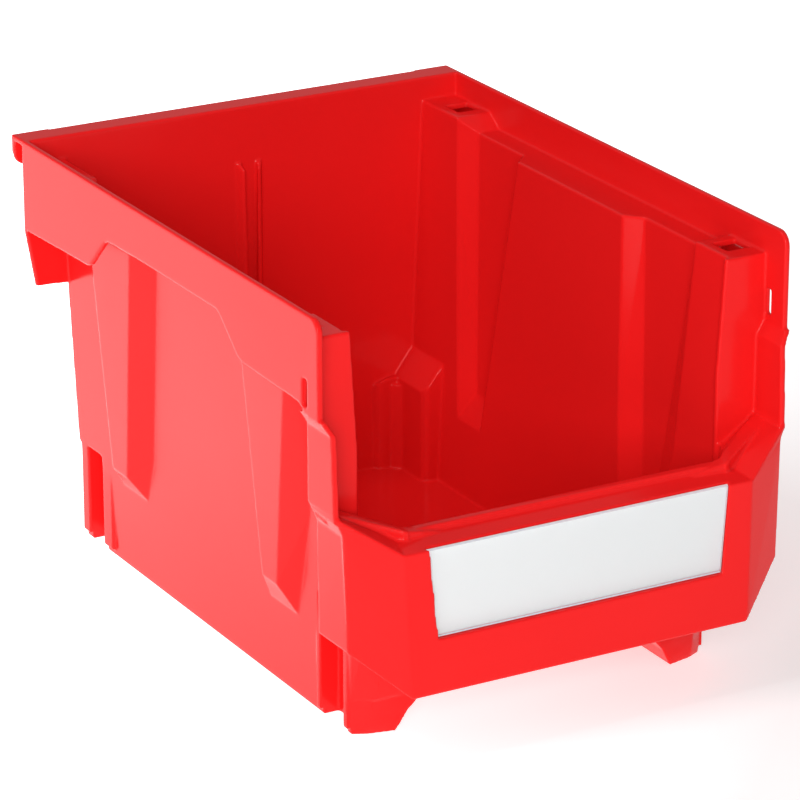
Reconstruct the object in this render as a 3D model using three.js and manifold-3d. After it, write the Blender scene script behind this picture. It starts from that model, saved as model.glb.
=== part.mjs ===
import * as THREE from 'three';
import { ConvexGeometry } from 'three/addons/geometries/ConvexGeometry.js';
import { mergeVertices } from 'three/addons/utils/BufferGeometryUtils.js';
import Module from 'manifold-3d';

const wasm = await Module();
wasm.setup();

// Millimetres. +X is the bin's right seen from the front, +Y points to the back, +Z up.
// Inside this file a point is (x, back, drop): back is counted from the front edge of the
// side rims, drop is counted down from the top of the rims.
const HEIGHT = 181;
const HALF_WIDTH = 105;
const BACK_REAR = 268;
const BACK_FRONT = -20.2;
const BACK_MIDDLE = (BACK_REAR + BACK_FRONT) / 2;
const WALL = 2.4;

// Tub walls: half width inside at the rim level, and how much it narrows per mm of drop.
const INNER_HALF_AT_TOP = 86.36;
const DRAFT = 0.047;
const REAR_OUTER = 257.8;
const REAR_INNER = REAR_OUTER - WALL;
const END_WALL = 13;
const LOWER_BODY_DROP = 138;
const LOWER_REAR_OUTER = 256;
const LOWER_FRONT = 42.4;
const FLOOR_TOP_DROP = 177;
const FLOOR_UNDER_DROP = FLOOR_TOP_DROP + WALL;

// Hopper front: lip, front wall and the skirt that carries the label.
const LIP_DROP = 92.5;
const PANEL_TOP_BACK = -17.9;
const PANEL_HALF_TOP = 78;
const PANEL_HALF_BOTTOM = 75.9;
const PANEL_BOTTOM_DROP = 151.2;

// Label pocket.
const POCKET_FLOOR = -15.2;
const POCKET_BOTTOM_DROP = 128.9;
const POCKET_HALF_TOP = 68.3;
const POCKET_HALF_BOTTOM = 65.8;
const LABEL_GAP = 0.3;
const CARD_THICKNESS = 0.4;
const WINDOW_THICKNESS = 1.4;

const RED = 0xe3161a;

function at(x, back, drop) {
  return new THREE.Vector3(x, back - BACK_MIDDLE, HEIGHT - drop);
}

function innerHalf(drop) {
  return INNER_HALF_AT_TOP - DRAFT * drop;
}

function outerHalf(drop) {
  return innerHalf(drop) + WALL;
}

// A closed geometry as a solid that can be joined and cut.
function solidOf(geometry) {
  const bare = new THREE.BufferGeometry();
  bare.setAttribute('position', geometry.getAttribute('position').clone());
  if (geometry.index) {
    bare.setIndex(geometry.index.clone());
  }
  const merged = mergeVertices(bare, 1e-4);
  return new wasm.Manifold(new wasm.Mesh({
    numProp: 3,
    vertProperties: new Float32Array(merged.getAttribute('position').array),
    triVerts: new Uint32Array(merged.index.array),
  }));
}

// The convex solid around a list of points.
function hull(points) {
  return solidOf(new ConvexGeometry(points));
}

// The same list of points on the right side (side 1) or the left side (side -1).
function sided(side, list) {
  return list.map(([x, back, drop]) => at(side * x, back, drop));
}

function bothSides(list) {
  return [...sided(1, list), ...sided(-1, list)];
}

// A plate: the convex solid between a face and the same face moved by an offset.
function plate(side, face, [dx, dBack, dDrop]) {
  const moved = face.map(([x, back, drop]) => [x + dx, back + dBack, drop + dDrop]);
  return hull(sided(side, [...face, ...moved]));
}

// An outline of [back, drop] pairs, extruded across X.
function extrudeAcross(outline, xLow, xHigh) {
  const corners = outline.map(([back, drop]) => new THREE.Vector2(back - BACK_MIDDLE, HEIGHT - drop));
  const shape = new THREE.Shape(corners);
  const geometry = new THREE.ExtrudeGeometry(shape, { depth: xHigh - xLow, bevelEnabled: false });
  const turn = new THREE.Matrix4().makeBasis(
    new THREE.Vector3(0, 1, 0),
    new THREE.Vector3(0, 0, 1),
    new THREE.Vector3(1, 0, 0),
  );
  geometry.applyMatrix4(turn);
  geometry.translate(xLow, 0, 0);
  return solidOf(geometry);
}

// An outline of [x, drop] pairs, extruded from one depth to another along Y.
function extrudeAlong(outline, backLow, backHigh) {
  const shape = new THREE.Shape(outline.map(([x, drop]) => new THREE.Vector2(x, HEIGHT - drop)));
  const geometry = new THREE.ExtrudeGeometry(shape, { depth: backHigh - backLow, bevelEnabled: false });
  geometry.rotateX(Math.PI / 2);
  geometry.translate(0, backHigh - BACK_MIDDLE, 0);
  return solidOf(geometry);
}

function block(xLow, xHigh, backLow, backHigh, dropLow, dropHigh) {
  const outline = [[backLow, dropLow], [backHigh, dropLow], [backHigh, dropHigh], [backLow, dropHigh]];
  return extrudeAcross(outline, xLow, xHigh);
}

// A block on one side, given by its distances from the middle plane.
function sideBlock(side, xNear, xFar, ...rest) {
  return block(Math.min(side * xNear, side * xFar), Math.max(side * xNear, side * xFar), ...rest);
}

function join(solids) {
  return solids.reduce((sum, next) => sum.add(next));
}

// Points along an arc, as pairs; angles count from the first axis towards the top.
function arcPoints(centreBack, centreDrop, radius, fromDegrees, toDegrees, steps) {
  const points = [];
  for (let i = 0; i <= steps; i += 1) {
    const angle = THREE.MathUtils.degToRad(fromDegrees + (toDegrees - fromDegrees) * i / steps);
    points.push([centreBack + radius * Math.cos(angle), centreDrop - radius * Math.sin(angle)]);
  }
  return points;
}

// Outside of the tub: tapered upper body, lower body set in at the rear, sloped front.
function tubOutside() {
  const upper = hull(bothSides([
    [outerHalf(9), END_WALL, 9],
    [outerHalf(9), REAR_OUTER, 9],
    [outerHalf(LOWER_BODY_DROP), END_WALL, LOWER_BODY_DROP],
    [outerHalf(LOWER_BODY_DROP), REAR_OUTER, LOWER_BODY_DROP],
  ]));
  const lower = hull(bothSides([
    [outerHalf(LOWER_BODY_DROP - 1), LOWER_FRONT, LOWER_BODY_DROP - 1],
    [outerHalf(LOWER_BODY_DROP - 1), LOWER_REAR_OUTER, LOWER_BODY_DROP - 1],
    [outerHalf(HEIGHT), LOWER_FRONT, HEIGHT],
    [outerHalf(HEIGHT), LOWER_REAR_OUTER, HEIGHT],
  ]));
  const front = hull(bothSides([
    [outerHalf(88), 11, 88],
    [76.8, -6, 88],
    [outerHalf(88), 50, 88],
    [outerHalf(166), 20, 166],
    [73, 13, 165],
    [outerHalf(FLOOR_UNDER_DROP), LOWER_FRONT, FLOOR_UNDER_DROP],
    [outerHalf(FLOOR_UNDER_DROP), 50, FLOOR_UNDER_DROP],
  ]));
  return join([upper, lower, front]);
}

// Space inside the tub, open at the top and towards the hopper mouth.
function tubInside() {
  const upper = hull(bothSides([
    [innerHalf(-5), 8, -5],
    [innerHalf(-5), REAR_INNER, -5],
    [innerHalf(86), 8, 86],
    [innerHalf(90), 12, 90],
    [innerHalf(90), REAR_INNER, 90],
  ]));
  const lower = hull(bothSides([
    [innerHalf(88), 12, 88],
    [innerHalf(88), REAR_INNER, 88],
    [innerHalf(FLOOR_TOP_DROP), 46, FLOOR_TOP_DROP],
    [innerHalf(FLOOR_TOP_DROP), LOWER_REAR_OUTER - WALL, FLOOR_TOP_DROP],
  ]));
  const front = hull(bothSides([
    [innerHalf(80), 10.4, 80],
    [74.9, -3.6, 80],
    [innerHalf(80), 60, 80],
    [innerHalf(164), 22, 163],
    [71.4, 15.4, 162.6],
    [innerHalf(FLOOR_TOP_DROP), 46, FLOOR_TOP_DROP],
    [innerHalf(FLOOR_TOP_DROP), 60, FLOOR_TOP_DROP],
  ]));
  return join([upper, lower, front]);
}

// The hollow under the floor, inside the rim that the bin stands on.
function underFloorRecess() {
  return block(-76.5, 76.5, 46, 248, FLOOR_UNDER_DROP, HEIGHT + 5);
}

// Rows are [wall front, wall rear, wall drop] and [face front, face rear, face drop].
const RIBS = [
  {
    depth: 6.8,
    wallOutside: [[165, 228, 15], [182.5, 218, 121], [192, 215.5, 144]],
    faceOutside: [[177.6, 219.5, 15], [196.7, 210.5, 133]],
    wallInside: [[173.5, 226, 5], [174, 226, 16], [187.5, 219, 95], [194, 214, 144.5]],
    faceInside: [[181, 218, 5], [181.3, 218, 16], [197.2, 209, 132]],
  },
  {
    depth: 6.8,
    wallOutside: [[33, 95, 15], [44, 87, 94], [60, 84, 146]],
    faceOutside: [[44.5, 86.5, 15], [64, 76.5, 132]],
    wallInside: [[37.4, 93, 5], [37.6, 93, 16], [44, 86.5, 107], [60.5, 82, 146]],
    faceInside: [[47, 85, 5], [47.4, 85, 16], [65, 75, 131]],
  },
];

function ribRing(rows, halfAt) {
  return rows.flatMap(([front, rear, drop]) => [[halfAt(drop), front, drop], [halfAt(drop), rear, drop]]);
}

function ribOutside(side, rib) {
  return hull(sided(side, [
    ...ribRing(rib.wallOutside, (drop) => outerHalf(drop) - 0.6),
    ...ribRing(rib.faceOutside, (drop) => outerHalf(drop) + rib.depth),
  ]));
}

function ribInside(side, rib) {
  return hull(sided(side, [
    ...ribRing(rib.wallInside, (drop) => innerHalf(drop) - 0.6),
    ...ribRing(rib.faceInside, (drop) => innerHalf(drop) + rib.depth),
  ]));
}

// Stacking ledge: low along the side, raised on a boss at each end.
const FRONT_BOSS_DROP = 11.7;
const REAR_BOSS_DROP = 10.3;
const LEDGE_DROP = 16.2;
const LEDGE_STEPS = [
  [38, FRONT_BOSS_DROP],
  [45.5, LEDGE_DROP],
  [217.5, LEDGE_DROP],
  [226, REAR_BOSS_DROP],
];
const LEDGE_REACH = [84, 103.5];

function ledge(side) {
  const top = [[END_WALL, FRONT_BOSS_DROP], ...LEDGE_STEPS, [REAR_OUTER, REAR_BOSS_DROP]];
  const under = top.map(([back, drop]) => [back, drop + WALL]).reverse();
  const reach = LEDGE_REACH.map((x) => side * x);
  return extrudeAcross([...top, ...under], Math.min(...reach), Math.max(...reach));
}

// Everything above the ledge, between the rims.
function aboveLedge() {
  const outline = [
    [END_WALL - 1, -5],
    [END_WALL - 1, FRONT_BOSS_DROP],
    ...LEDGE_STEPS,
    [REAR_INNER, REAR_BOSS_DROP],
    [REAR_INNER, -5],
  ];
  const rimInside = HALF_WIDTH - WALL;
  return extrudeAcross(outline, -rimInside, rimInside);
}

// Square holes through the bosses of the ledge.
function socket(side, backLow) {
  return sideBlock(side, 90.8, 101.2, backLow, backLow + 10.8, 5, 25);
}

function frontSocket(side) {
  return socket(side, 22.6);
}

function rearSocket(side) {
  return socket(side, 232.6);
}

// Rim and skirt along each side, with its stepped lower edge.
function sideSkirt(side) {
  const outline = [
    ...arcPoints(6, 6, 6, 180, 90, 5),
    [REAR_OUTER, 0],
    [REAR_OUTER, 39.2],
    [196.9, 36.9],
    [194, 35.8],
    [180.4, 22.4],
    [177, 21.2],
    [150, 20.5],
    [83, 20.5],
    [80, 21.8],
    [65, 34.6],
    [61, 35.8],
    [16.5, 36.8],
    [13, 38.2],
    [8, 40.6],
    [0, 40.6],
  ];
  const low = side > 0 ? HALF_WIDTH - WALL : -HALF_WIDTH;
  return extrudeAcross(outline, low, low + WALL);
}

function skirtSlot(side) {
  return sideBlock(side, 101, 106, 9, 12.6, 26.2, 36.8);
}

// Rear wall carried out to the skirts, and the lip the bin hangs by.
function rearPlate() {
  const outline = [
    [-HALF_WIDTH, 0],
    [HALF_WIDTH, 0],
    [HALF_WIDTH, 39.2],
    [100.8, 64.2],
    [82, 65.1],
    [-82, 65.1],
    [-100.8, 64.2],
    [-HALF_WIDTH, 39.2],
  ];
  return extrudeAlong(outline, REAR_INNER, REAR_OUTER);
}

function hangingLip() {
  const top = block(-HALF_WIDTH, HALF_WIDTH, REAR_OUTER - 0.2, BACK_REAR - 1, 0, WALL);
  const lipOutline = [[-HALF_WIDTH, 0], [HALF_WIDTH, 0]];
  for (const side of [1, -1]) {
    const arc = arcPoints(100, 8, 5, 0, -90, 4).map(([x, drop]) => [side * x, drop]);
    lipOutline.push(...(side > 0 ? arc : arc.reverse()));
  }
  const lip = extrudeAlong(lipOutline, BACK_REAR - 1 - WALL, BACK_REAR - 1);
  const pads = [1, -1].map((side) => sideBlock(side, 88, HALF_WIDTH, BACK_REAR - 2, BACK_REAR, 0, 8));
  return join([top, lip, ...pads]);
}

// Front pillar on one side: end wall, and the flange that runs down to the hopper skirt.
function pillar(side) {
  const endOutline = [
    [84, 11.7],
    [103.5, 11.7],
    [103.5, 40.6],
    [100.4, 45.3],
    [100.4, 77],
    [96.4, 86],
    [96.4, 132],
    [81, 145],
    [81, 60],
  ];
  const endWall = extrudeAlong(endOutline.map(([x, drop]) => [side * x, drop]), END_WALL, END_WALL + WALL);
  const rear = END_WALL + WALL;
  const step = plate(side, [
    [105, -1.9, 39.6],
    [105, rear, 39.6],
    [101.6, rear, 45.3],
    [101.6, -3.9, 45.3],
  ], [-WALL, 0, 0]);
  const flange = plate(side, [
    [101.6, -3.9, 45.3],
    [101.6, rear, 45.3],
    [101.5, rear, 77],
    [101.5, -5.4, 77],
  ], [-WALL, 0, 0]);
  const skirtTop = plate(side, [
    [101.5, -5.4, 77],
    [101.5, rear, 77],
    [97.7, rear, 85.6],
    [97.9, -7.5, 85.6],
  ], [-WALL, 0, 0]);
  const skirtSide = plate(side, [
    [97.9, -7.5, 85.6],
    [97.7, rear, 85.6],
    [97.3, rear, 132.5],
    [97.2, -7.9, 132.3],
  ], [-WALL, 0, 0]);
  return join([endWall, step, flange, skirtTop, skirtSide]);
}

// Angled skirt face between the pillar and the front panel, with the lip above it.
function facet(side) {
  const face = plate(side, [
    [98.9, -6.2, 79.2],
    [97.9, -7.5, 85.6],
    [97.2, -7.9, 132.3],
    [PANEL_HALF_BOTTOM, BACK_FRONT, PANEL_BOTTOM_DROP],
    [PANEL_HALF_TOP, PANEL_TOP_BACK, LIP_DROP],
  ], [-1.1, 2.2, 0]);
  const lip = plate(side, [
    [PANEL_HALF_TOP, PANEL_TOP_BACK, LIP_DROP],
    [98.9, -6.2, 79.2],
    [101.5, -5.4, 77],
    [101, END_WALL + 1, 77],
    [84, END_WALL + 1, 88.5],
    [76, -5, 90],
  ], [0, 0, WALL]);
  return join([face, lip, bead(side)]);
}

// Raised bead behind the facet's lip, which turns along the front panel and fades out there.
function bead(side) {
  const footDepth = 5;
  const withFoot = (points) => [
    ...points,
    ...points.map(([x, back, drop]) => [x, back, drop + footDepth]),
  ];
  const alongFacet = hull(sided(side, withFoot([
    [100, END_WALL + 0.3, 77.6],
    [99.6, 5, 78.4],
    [71.5, -9, 87.2],
    [72.9, -2.6, 86.6],
    [79.8, 5.6, 86.3],
  ])));
  const alongPanel = hull(sided(side, withFoot([
    [73.5, -8.6, 87],
    [73, -2.6, 86.6],
    [57, -7.6, 90.3],
    [56, -5.2, 90.1],
  ])));
  return join([alongFacet, alongPanel]);
}

// Front panel with the lip behind its top edge and the backing of the label pocket.
function frontPanel() {
  const face = hull(bothSides([
    [PANEL_HALF_TOP, PANEL_TOP_BACK, LIP_DROP],
    [PANEL_HALF_TOP, PANEL_TOP_BACK + WALL, LIP_DROP],
    [PANEL_HALF_BOTTOM, BACK_FRONT, PANEL_BOTTOM_DROP],
    [PANEL_HALF_BOTTOM, BACK_FRONT + WALL, PANEL_BOTTOM_DROP],
  ]));
  const lip = hull(bothSides([
    [PANEL_HALF_TOP, PANEL_TOP_BACK, LIP_DROP],
    [PANEL_HALF_TOP, PANEL_TOP_BACK, LIP_DROP + WALL],
    [77, -4, 90],
    [77, -4, 90 + WALL],
  ]));
  const innerEdge = hull(bothSides([
    [77, -5.4, 90],
    [77, -3.4, 90.4],
    [77, -5.4, 96],
    [77, -3.4, 96],
  ]));
  const backing = hull(bothSides([
    [71.5, -17, LIP_DROP - 0.2],
    [71.5, POCKET_FLOOR + WALL, LIP_DROP - 0.6],
    [69, -17, POCKET_BOTTOM_DROP + WALL],
    [69, POCKET_FLOOR + WALL, POCKET_BOTTOM_DROP + 1],
  ]));
  return join([face, lip, innerEdge, backing]);
}

function pocketHalf(drop) {
  const share = (drop - LIP_DROP) / (POCKET_BOTTOM_DROP - LIP_DROP);
  return POCKET_HALF_TOP + (POCKET_HALF_BOTTOM - POCKET_HALF_TOP) * share;
}

// A slab that fits the dovetailed pocket: wide at its back, narrower at its front.
function pocketSlab(front, back, dropTop, dropBottom, gap) {
  const points = [];
  for (const drop of [dropTop, dropBottom]) {
    for (const depth of [front, back]) {
      points.push([pocketHalf(drop) - gap + 0.45 * (depth - POCKET_FLOOR), depth, drop]);
    }
  }
  return hull(bothSides(points));
}

// Front foot on one side.
function foot(side) {
  const ring = (inner, drop, front) => [
    [inner, front, drop],
    [74.4, front + 2.4, drop],
    [outerHalf(drop), 20.4, drop],
    [outerHalf(drop), LOWER_FRONT, drop],
    [inner, LOWER_FRONT, drop],
  ];
  const waist = ring(59, HEIGHT - 8, 13.6);
  const sole = [...ring(63.4, HEIGHT, 15.2), ...ring(62, HEIGHT - 3, 14.3)];
  const shoulder = ring(50, HEIGHT - 18, 12);
  return join([hull(sided(side, [...sole, ...waist])), hull(sided(side, [...waist, ...shoulder]))]);
}

// An upright from the floor with a sloped top. Its plan is a list of [x, back] and topAt gives its drop.
function upright(side, plan, topAt, bottomDrop) {
  const ends = plan.flatMap(([x, back]) => [[x, back, topAt(x)], [x, back, bottomDrop]]);
  return hull(sided(side, ends));
}

// Corner column inside the tub: a lobe on the side wall, a rounded one on the rear wall, a fillet between.
function rearColumn(side) {
  const bottom = FLOOR_TOP_DROP + 1;
  const sideTop = (x) => 135.2 - 1.27 * (x - 70.8);
  const rearTop = (x) => 134.6 + 1.3 * Math.max(0, 62.6 - x);
  const sideLobe = [[82, 227.6], [73.8, 227.6], [71.7, 228.5], [70.8, 230.6], [70.8, 256], [82, 256]];
  const rearLobe = [[59.4, 256], [60.2, 253], [61.6, 251.4], [63.6, 250.7], [72, 250.7], [72, 256]];
  const fillet = [[66.6, 251], [70, 249.6], [71, 246.4], [72, 252]];
  return join([
    upright(side, sideLobe, sideTop, bottom),
    upright(side, rearLobe, rearTop, bottom),
    upright(side, fillet, () => 137.5, bottom),
  ]);
}

function frontColumn(side) {
  const topAt = (x) => 122 - 0.9 * (x - 71);
  return upright(side, [[82, 20.5], [71.2, 22], [71, 44], [82, 45.5]], topAt, FLOOR_UNDER_DROP - 1);
}

// Upright grooves outside, one round each corner column.
function channels(side) {
  const below = HEIGHT + 5;
  return join([
    sideBlock(side, 73.6, 90, 236, 249.4, LOWER_BODY_DROP, below),
    sideBlock(side, 64.5, 70.5, 253.1, 262, LOWER_BODY_DROP, below),
    sideBlock(side, 73.6, 90, 24, LOWER_FRONT, 128, below),
  ]);
}

// Pair of guide ribs for a divider, in the middle of the rear wall.
function dividerGuide(side) {
  return hull(sided(side, [
    [2.6, REAR_INNER - 3.2, 27.5],
    [4.2, REAR_INNER - 3.2, 27.5],
    [4.4, REAR_INNER + 0.5, 23.8],
    [6.4, REAR_INNER + 0.5, 23.8],
    [2.6, REAR_INNER - 4.4, FLOOR_TOP_DROP + 0.5],
    [4.2, REAR_INNER - 4.4, FLOOR_TOP_DROP + 0.5],
    [2.6, REAR_INNER + 0.5, FLOOR_TOP_DROP + 0.5],
    [6.4, REAR_INNER + 0.5, FLOOR_TOP_DROP + 0.5],
  ]));
}

function buildShell() {
  const sides = [1, -1];
  const onBothSides = (...makers) => join(makers.flatMap((maker) => sides.map(maker)));
  const onEveryRib = (maker) => join(sides.flatMap((side) => RIBS.map((rib) => maker(side, rib))));

  let shell = join([tubOutside(), onEveryRib(ribOutside), onBothSides(ledge, foot)]);
  shell = shell.subtract(underFloorRecess());
  shell = shell.subtract(join([tubInside(), onEveryRib(ribInside)]));
  shell = shell.subtract(aboveLedge());
  shell = join([shell, rearPlate(), hangingLip(), frontPanel()]);
  shell = join([shell, onBothSides(sideSkirt, pillar, facet, rearColumn, frontColumn, dividerGuide)]);
  shell = shell.subtract(onBothSides(channels, skirtSlot, frontSocket, rearSocket));
  return shell.subtract(pocketSlab(-24, POCKET_FLOOR, LIP_DROP - 8, POCKET_BOTTOM_DROP, 0));
}

function meshOf(solid, name, options) {
  const { vertProperties, triVerts } = solid.getMesh();
  const indexed = new THREE.BufferGeometry();
  indexed.setAttribute('position', new THREE.BufferAttribute(new Float32Array(vertProperties), 3));
  indexed.setIndex(new THREE.BufferAttribute(new Uint32Array(triVerts), 1));
  const geometry = indexed.toNonIndexed();
  geometry.computeVertexNormals();
  const mesh = new THREE.Mesh(geometry, new THREE.MeshStandardMaterial(options));
  mesh.name = name;
  return mesh;
}

function labelPiece(front, thickness) {
  return pocketSlab(front, front + thickness, LIP_DROP + 0.2, POCKET_BOTTOM_DROP - LABEL_GAP, LABEL_GAP);
}

const cardFront = POCKET_FLOOR - LABEL_GAP - CARD_THICKNESS;
const windowFront = cardFront - LABEL_GAP - WINDOW_THICKNESS;

const group = new THREE.Group();
group.name = 'hopper_front_bin';
group.add(meshOf(buildShell(), 'bin_shell', { color: RED, roughness: 0.35, metalness: 0 }));
group.add(meshOf(labelPiece(cardFront, CARD_THICKNESS), 'label_card', {
  color: 0xf2f4f2,
  roughness: 0.8,
  metalness: 0,
}));
group.add(meshOf(labelPiece(windowFront, WINDOW_THICKNESS), 'label_window', {
  color: 0xe8eef4,
  roughness: 0.1,
  metalness: 0,
  transparent: true,
  opacity: 0.35,
}));

export default group;
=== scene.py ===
# Stackable hopper-front storage bin: rounded moulding, materials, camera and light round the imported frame.
import math

import bpy
from mathutils import Euler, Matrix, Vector


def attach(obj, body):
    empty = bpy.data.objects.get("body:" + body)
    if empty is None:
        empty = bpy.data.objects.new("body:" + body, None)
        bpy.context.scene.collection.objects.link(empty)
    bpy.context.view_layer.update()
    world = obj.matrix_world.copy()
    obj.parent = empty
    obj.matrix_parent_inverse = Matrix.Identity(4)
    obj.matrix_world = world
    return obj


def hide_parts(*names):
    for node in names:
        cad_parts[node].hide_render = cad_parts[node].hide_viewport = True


MM = 0.001

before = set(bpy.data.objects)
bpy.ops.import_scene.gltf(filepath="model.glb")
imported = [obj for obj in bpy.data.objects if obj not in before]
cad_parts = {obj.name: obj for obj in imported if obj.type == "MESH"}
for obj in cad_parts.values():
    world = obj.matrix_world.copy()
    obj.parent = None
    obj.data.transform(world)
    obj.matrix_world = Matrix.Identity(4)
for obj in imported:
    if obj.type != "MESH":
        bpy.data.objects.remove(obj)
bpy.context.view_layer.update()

# The moulding's surface is cut into cells of this size before its edges are smoothed round.
CELL = 0.65 * MM
SMOOTHING_PASSES = 5
FACES_KEPT = 190_000
WELD_DISTANCE = 0.02 * MM

# How strongly the floor shines at the front right and at the rear left; the light fades between them.
FLOOR_BASE_GLOW = 0.32
FLOOR_GLOW = 1.55
WORLD_STRENGTH = 0.35

# Chosen for a subdued surface reflection; real polypropylene is about 1.49.
RED_IOR = 1.22
CLEAR_IOR = 1.49


# ---------------------------------------------------------------- rounded moulding

def with_modifiers_applied(piece):
    """Replaces a piece's mesh by what its modifiers make of it."""
    shown = piece.evaluated_get(bpy.context.evaluated_depsgraph_get())
    mesh = bpy.data.meshes.new_from_object(shown)
    piece.modifiers.clear()
    piece.data = mesh


def rounded_moulding(name, node):
    """A piece with the node's shape, whose edges and corners are rounded as moulded ones are.

    The surface is cut into small cells, which are laid back onto the node's exact surface and
    then smoothed: flat walls stay flat, and only what lies within a few cells of an edge is
    rounded. The cells that flat walls no longer need are then taken out.
    """
    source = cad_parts[node]
    piece = bpy.data.objects.new(name, source.data.copy())
    bpy.context.scene.collection.objects.link(piece)
    weld = piece.modifiers.new("join_split_vertices", "WELD")
    weld.merge_threshold = WELD_DISTANCE
    cells = piece.modifiers.new("cells", "REMESH")
    cells.mode = "VOXEL"
    cells.voxel_size = CELL
    cells.use_smooth_shade = True
    lay = piece.modifiers.new("lay_on_surface", "SHRINKWRAP")
    lay.target = source
    lay.wrap_method = "NEAREST_SURFACEPOINT"
    soften = piece.modifiers.new("soften_edges", "SMOOTH")
    soften.factor = 0.5
    soften.iterations = SMOOTHING_PASSES
    with_modifiers_applied(piece)
    thin = piece.modifiers.new("thin_out", "DECIMATE")
    thin.ratio = min(1.0, FACES_KEPT / (2 * len(piece.data.polygons)))
    with_modifiers_applied(piece)
    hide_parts(node)
    return piece


# ---------------------------------------------------------------- materials

def new_material(name):
    material = bpy.data.materials.new(name)
    material.use_nodes = True
    tree = material.node_tree
    shader = tree.nodes["Principled BSDF"]
    return material, tree, shader


def object_coordinates(tree):
    return tree.nodes.new("ShaderNodeTexCoord").outputs["Object"]


def noise(tree, coordinates, scale, detail=2.0, roughness=0.5):
    node = tree.nodes.new("ShaderNodeTexNoise")
    node.inputs["Scale"].default_value = scale
    node.inputs["Detail"].default_value = detail
    node.inputs["Roughness"].default_value = roughness
    tree.links.new(coordinates, node.inputs["Vector"])
    return node.outputs["Fac"]


def mapped(tree, value, low, high, from_low=0.3, from_high=0.7):
    node = tree.nodes.new("ShaderNodeMapRange")
    node.inputs["From Min"].default_value = from_low
    node.inputs["From Max"].default_value = from_high
    node.inputs["To Min"].default_value = low
    node.inputs["To Max"].default_value = high
    tree.links.new(value, node.inputs["Value"])
    return node.outputs["Result"]


def blended(tree, value, low_colour, high_colour):
    node = tree.nodes.new("ShaderNodeMix")
    node.data_type = "RGBA"
    node.inputs["A"].default_value = (*low_colour, 1)
    node.inputs["B"].default_value = (*high_colour, 1)
    tree.links.new(value, node.inputs["Factor"])
    return node.outputs["Result"]


def bump(tree, height, distance, strength=1.0, under=None):
    node = tree.nodes.new("ShaderNodeBump")
    node.inputs["Strength"].default_value = strength
    node.inputs["Distance"].default_value = distance
    tree.links.new(height, node.inputs["Height"])
    if under is not None:
        tree.links.new(under, node.inputs["Normal"])
    return node.outputs["Normal"]


def red_polypropylene():
    """Semi-gloss red moulding: slow colour drift, uneven polish, faint waviness and fine grain."""
    material, tree, shader = new_material("red_polypropylene")
    place = object_coordinates(tree)
    drift = noise(tree, place, 9, detail=3)
    colour = blended(tree, mapped(tree, drift, 0, 1), (0.76, 0.0105, 0.011), (0.79, 0.012, 0.0125))
    tree.links.new(colour, shader.inputs["Base Color"])
    polish = noise(tree, place, 45, detail=4, roughness=0.6)
    tree.links.new(mapped(tree, polish, 0.15, 0.2), shader.inputs["Roughness"])
    wave = bump(tree, noise(tree, place, 14, detail=0), 0.2 * MM, 0.5)
    grain = bump(tree, noise(tree, place, 2600, detail=2), 0.004 * MM, 0.5, under=wave)
    tree.links.new(grain, shader.inputs["Normal"])
    shader.inputs["IOR"].default_value = RED_IOR
    return material


def label_paper():
    """Uncoated white card with a faint fibre."""
    material, tree, shader = new_material("label_paper")
    place = object_coordinates(tree)
    fibre = noise(tree, place, 900, detail=5, roughness=0.7)
    colour = blended(tree, mapped(tree, fibre, 0, 1), (0.66, 0.675, 0.66), (0.69, 0.70, 0.69))
    tree.links.new(colour, shader.inputs["Base Color"])
    tree.links.new(bump(tree, fibre, 0.01 * MM, 0.3), shader.inputs["Normal"])
    shader.inputs["Roughness"].default_value = 0.7
    return material


def clear_sheet():
    """Clear rigid cover: see-through on its face, and frosted bright where its edges are cut."""
    material, tree, shader = new_material("clear_sheet")
    shader.inputs["Base Color"].default_value = (0.86, 0.91, 1.0, 1)
    shader.inputs["IOR"].default_value = CLEAR_IOR
    place = object_coordinates(tree)
    smear = noise(tree, place, 30, detail=3)
    tree.links.new(mapped(tree, smear, 0.04, 0.12), shader.inputs["Roughness"])
    facing = tree.nodes.new("ShaderNodeSeparateXYZ")
    tree.links.new(tree.nodes.new("ShaderNodeTexCoord").outputs["Normal"], facing.inputs["Vector"])
    front = tree.nodes.new("ShaderNodeMath")
    front.operation = "ABSOLUTE"
    tree.links.new(facing.outputs["Y"], front.inputs[0])
    opacity = mapped(tree, front.outputs["Value"], 0.9, 0.06, from_low=0.55, from_high=0.97)
    tree.links.new(opacity, shader.inputs["Alpha"])
    return material


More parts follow.
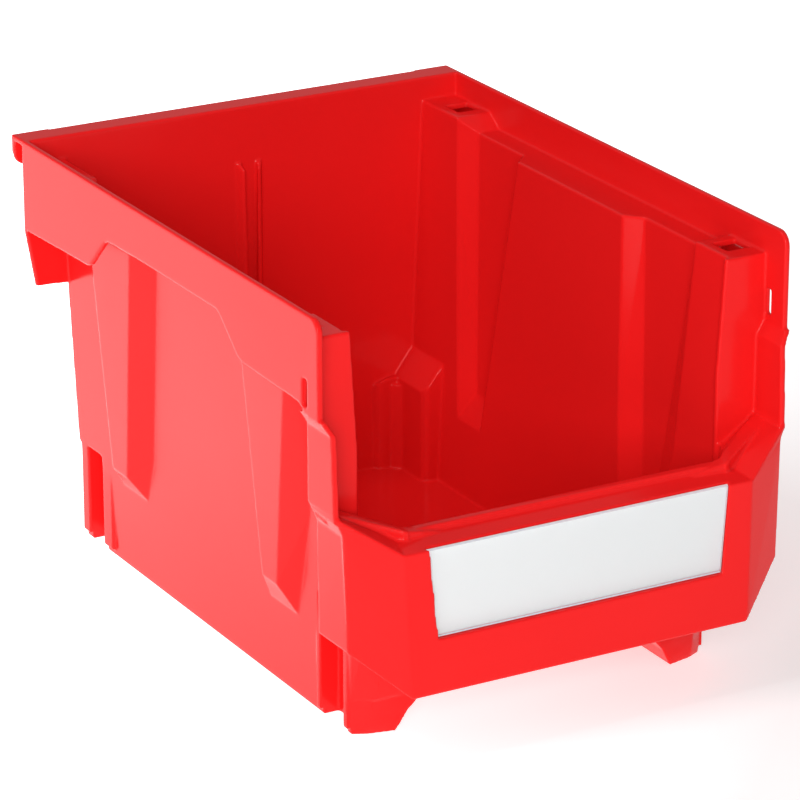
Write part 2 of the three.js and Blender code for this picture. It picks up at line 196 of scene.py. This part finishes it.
def floor_material():
    """Matt white floor that also shines, far more strongly at its rear left than at its front right."""
    material, tree, shader = new_material("studio_floor")
    shader.inputs["Base Color"].default_value = (0.84, 0.84, 0.84, 1)
    shader.inputs["Roughness"].default_value = 0.9
    shader.inputs["Emission Color"].default_value = (1, 1, 1, 1)
    place = tree.nodes.new("ShaderNodeSeparateXYZ")
    tree.links.new(object_coordinates(tree), place.inputs["Vector"])
    towards_rear_left = tree.nodes.new("ShaderNodeMath")
    towards_rear_left.operation = "MULTIPLY_ADD"
    towards_rear_left.inputs[1].default_value = -1.0
    tree.links.new(place.outputs["X"], towards_rear_left.inputs[0])
    tree.links.new(place.outputs["Y"], towards_rear_left.inputs[2])
    across = towards_rear_left.outputs["Value"]
    glow = mapped(tree, across, FLOOR_BASE_GLOW, FLOOR_GLOW, from_low=-0.25, from_high=0.35)
    tree.links.new(glow, shader.inputs["Emission Strength"])
    return material


# ---------------------------------------------------------------- pieces

def build_pieces():
    shell = rounded_moulding("bin_moulding", "bin_shell")
    shell.data.materials.clear()
    shell.data.materials.append(red_polypropylene())
    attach(shell, "bin")

    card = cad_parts["label_card"]
    card.data.materials.clear()
    card.data.materials.append(label_paper())

    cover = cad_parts["label_window"]
    cover.data.materials.clear()
    cover.data.materials.append(clear_sheet())


# ---------------------------------------------------------------- studio

def build_floor():
    bpy.ops.mesh.primitive_plane_add(size=30, location=(0, 0, 0))
    floor = bpy.context.object
    floor.name = "studio_floor"
    floor.data.materials.append(floor_material())


def area_light(name, place, target, size, power):
    data = bpy.data.lights.new(name, "AREA")
    data.shape = "RECTANGLE"
    data.size, data.size_y = size
    data.energy = power
    light = bpy.data.objects.new(name, data)
    light.location = place
    light.rotation_euler = (Vector(target) - Vector(place)).to_track_quat("-Z", "Y").to_euler()
    bpy.context.scene.collection.objects.link(light)


def build_lights():
    world = bpy.data.worlds.new("studio")
    world.use_nodes = True
    background = world.node_tree.nodes["Background"]
    background.inputs["Color"].default_value = (1, 1, 1, 1)
    background.inputs["Strength"].default_value = WORLD_STRENGTH
    bpy.context.scene.world = world
    middle = (0, 0, 0.09)
    area_light("front_left_softbox", (-1.2, -2.0, 0.9), middle, (0.9, 0.9), 37)
    area_light("upper_left_softbox", (-1.2, 0.1, 1.9), middle, (0.6, 0.6), 12)
    bpy.context.scene.view_settings.view_transform = "Standard"


def build_camera():
    data = bpy.data.cameras.new("camera")
    data.sensor_width = 36
    data.lens = 197.7
    data.clip_start, data.clip_end = 0.05, 50
    camera = bpy.data.objects.new("camera", data)
    camera.location = (-0.828, -1.4629, 0.723)
    camera.rotation_euler = Euler((math.radians(69.37), 0, math.radians(-29.51)))
    bpy.context.scene.collection.objects.link(camera)
    bpy.context.scene.camera = camera


build_camera()
build_pieces()
build_floor()
build_lights()
